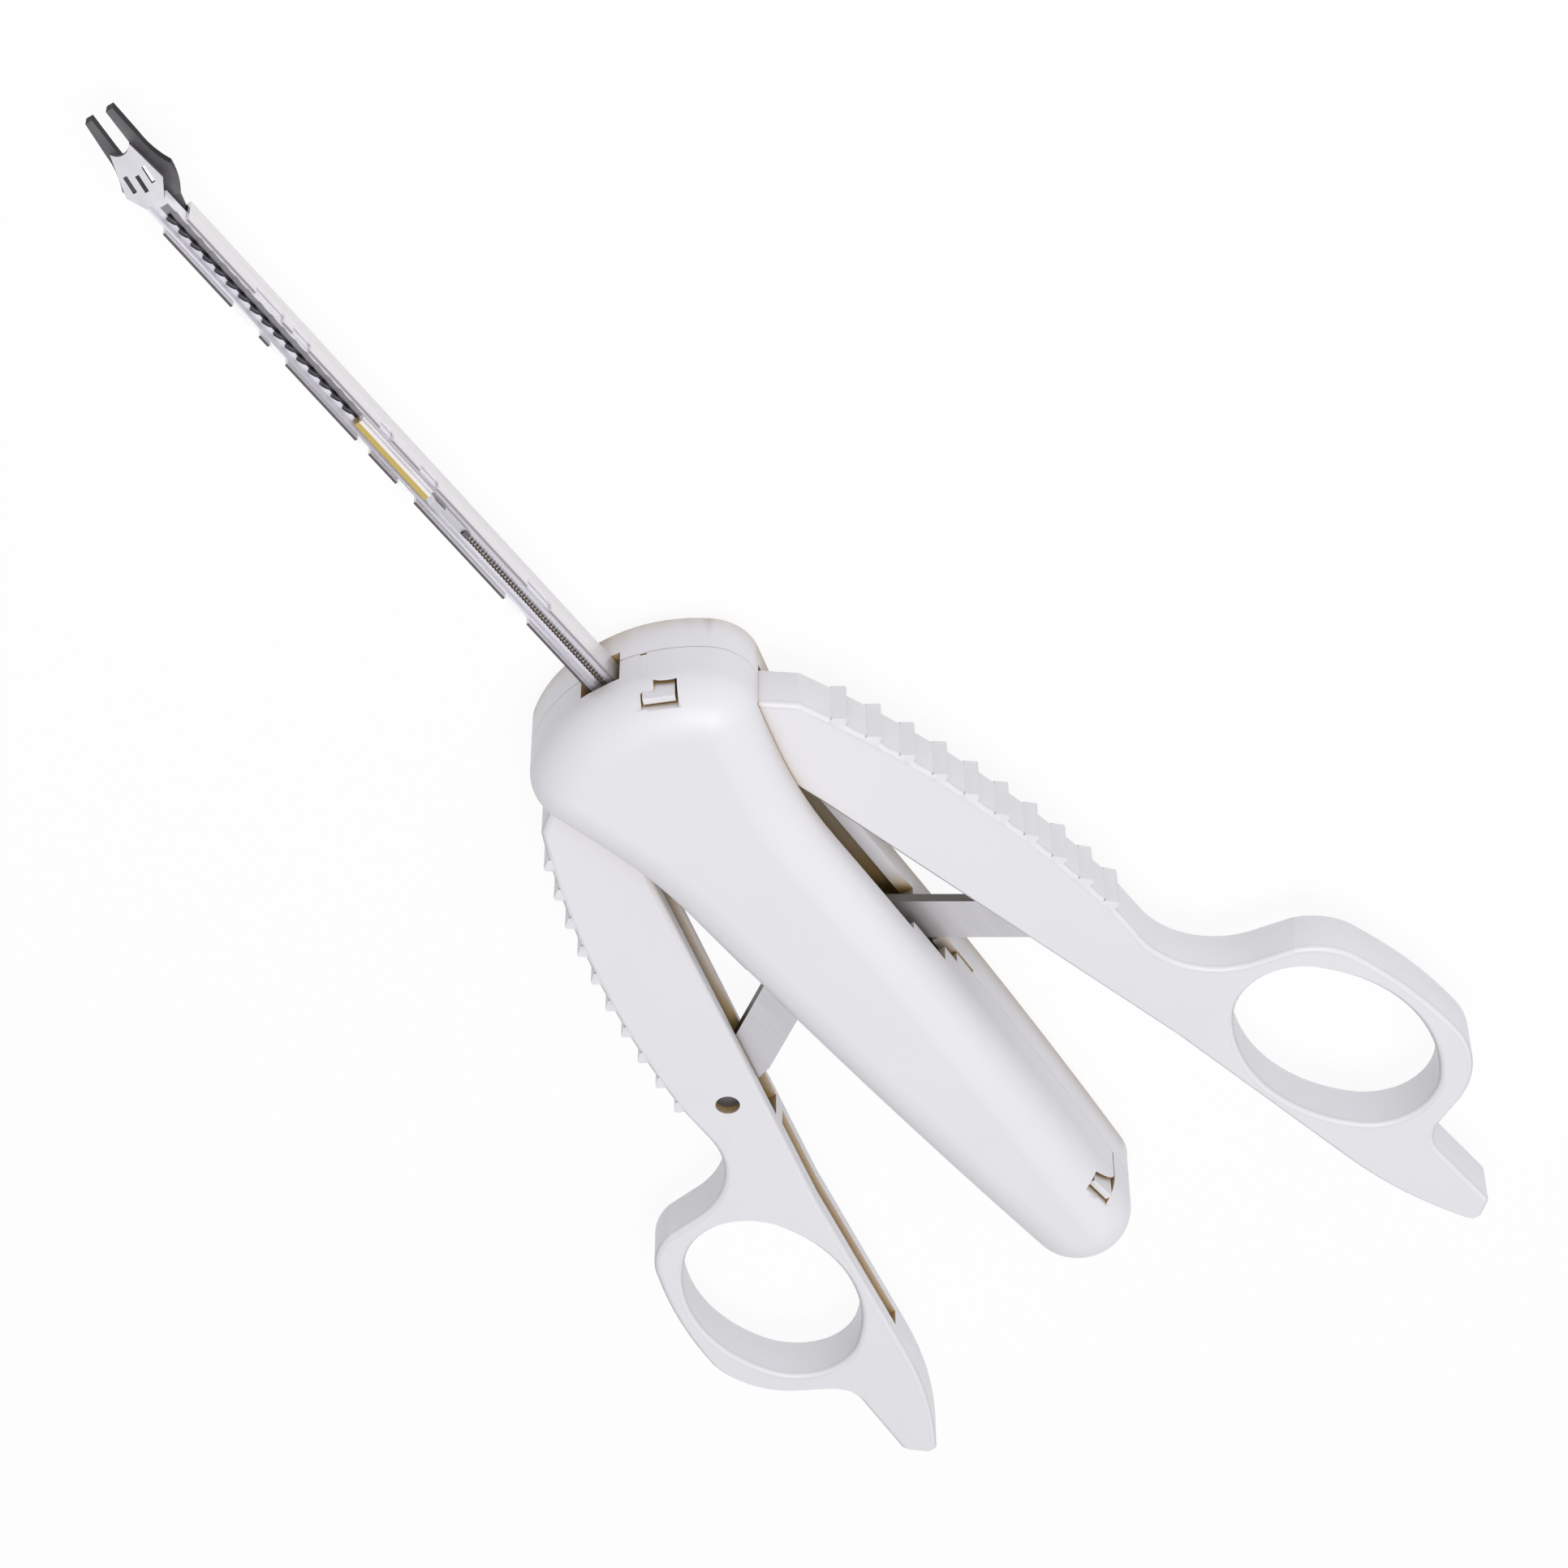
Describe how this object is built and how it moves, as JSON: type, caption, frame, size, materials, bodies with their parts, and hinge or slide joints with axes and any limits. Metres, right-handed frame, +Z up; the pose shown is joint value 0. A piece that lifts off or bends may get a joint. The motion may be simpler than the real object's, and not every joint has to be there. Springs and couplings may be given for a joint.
{
  "type": "surgical clip applier",
  "caption": "Open-surgery clip applier: two ring handles on a two-shell body drive a slider and a slim steel shaft that squeezes angled jaws on clips fed from a clear-covered row.",
  "frame": {"origin": "on the plane that the body's underside rests on, in the symmetry plane, midway between the two handle pivots", "axes": "+X along the shaft to the jaws, +Y to the user's left handle, +Z up out of the body's top"},
  "size_m": [0.2286, 0.1126, 0.017],
  "materials": {
    "housing_plastic": "fine satin",
    "handle_plastic": "fine satin",
    "steel": "brushed",
    "polished_steel": "polished",
    "clear_plastic": "clear",
    "clip_metal": "dark satin",
    "yellow_plastic": "gloss",
    "grey_plastic": "satin",
    "brass_wire": "dull"
  },
  "bodies": {
    "housing": {"upper_body_shell": "housing_plastic", "lower_body_shell": "housing_plastic", "left_pivot_pin": "polished_steel", "right_pivot_pin": "polished_steel", "cartridge_frame": "polished_steel", "clip_cover": "clear_plastic", "anchor_block": "grey_plastic", "nose_plate": "polished_steel", "jaw_root": "steel", "return_spring": "steel", "follower_spring": "brass_wire"},
    "left_handle": {"left_handle": "handle_plastic", "left_link_pin": "polished_steel"},
    "right_handle": {"right_handle": "handle_plastic", "right_link_pin": "polished_steel"},
    "left_link": {"left_link": "steel"},
    "right_link": {"right_link": "steel"},
    "slider": {"drive_slider": "grey_plastic", "slider_pin": "polished_steel"},
    "channel": {"crimp_channel": "polished_steel"},
    "left_jaw": {"left_jaw": "polished_steel"},
    "right_jaw": {"right_jaw": "polished_steel"},
    "feed": {"feed_bar": "steel"},
    "clip_stack": {"clips": "clip_metal", "clip_follower": "yellow_plastic", "follower_latch": "steel", "spring_button": "grey_plastic"}
  },
  "joints": [
    {"name": "left_handle_swing", "type": "hinge", "parent": "housing", "child": "left_handle", "pos_m": [0, 0.0095, 0.0085], "axis": [0, 0, 1], "range_deg": [0, 10]},
    {"name": "right_handle_swing", "type": "hinge", "parent": "housing", "child": "right_handle", "pos_m": [0, -0.0095, 0.0085], "axis": [0, 0, -1], "range_deg": [0, 10]},
    {"name": "left_link_pivot", "type": "hinge", "parent": "left_handle", "child": "left_link", "pos_m": [-0.0552, 0.0262, 0.0085], "axis": [0, 0, 1], "range_deg": [0, 15.6]},
    {"name": "right_link_pivot", "type": "hinge", "parent": "right_handle", "child": "right_link", "pos_m": [-0.0552, -0.0262, 0.0085], "axis": [0, 0, -1], "range_deg": [0, 15.6]},
    {"name": "slider_stroke", "type": "slide", "parent": "housing", "child": "slider", "axis": [1, 0, 0], "range_m": [0, 0.0078], "deforming": ["return_spring"]},
    {"name": "channel_stroke", "type": "slide", "parent": "housing", "child": "channel", "axis": [1, 0, 0], "range_m": [0, 0.0015]},
    {"name": "left_jaw_close", "type": "hinge", "parent": "housing", "child": "left_jaw", "pos_m": [0.072, 0.0007, 0.0067], "axis": [0, 0, -1], "range_deg": [0, 1.7]},
    {"name": "right_jaw_close", "type": "hinge", "parent": "housing", "child": "right_jaw", "pos_m": [0.072, -0.0007, 0.0067], "axis": [0, 0, 1], "range_deg": [0, 1.7]},
    {"name": "feed_stroke", "type": "slide", "parent": "housing", "child": "feed", "axis": [-1, 0, 0], "range_m": [0, 0.0023]},
    {"name": "clip_advance", "type": "slide", "parent": "housing", "child": "clip_stack", "axis": [1, 0, 0], "range_m": [0, 0.00206], "deforming": ["follower_spring"]}
  ],
  "couplings": [
    {"joint": "right_handle_swing", "follows": "left_handle_swing", "ratio": 1},
    {"joint": "left_link_pivot", "follows": "left_handle_swing", "ratio": 1.5532},
    {"joint": "right_link_pivot", "follows": "left_handle_swing", "ratio": 1.5532},
    {"joint": "slider_stroke", "follows": "left_handle_swing", "m_per_rad": 0.044669},
    {"joint": "channel_stroke", "follows": "left_handle_swing", "m_per_rad": 0.00859},
    {"joint": "left_jaw_close", "follows": "left_handle_swing", "ratio": 0.17},
    {"joint": "right_jaw_close", "follows": "left_handle_swing", "ratio": 0.17},
    {"joint": "feed_stroke", "follows": "left_handle_swing", "m_per_rad": 0.01315}
  ]
}
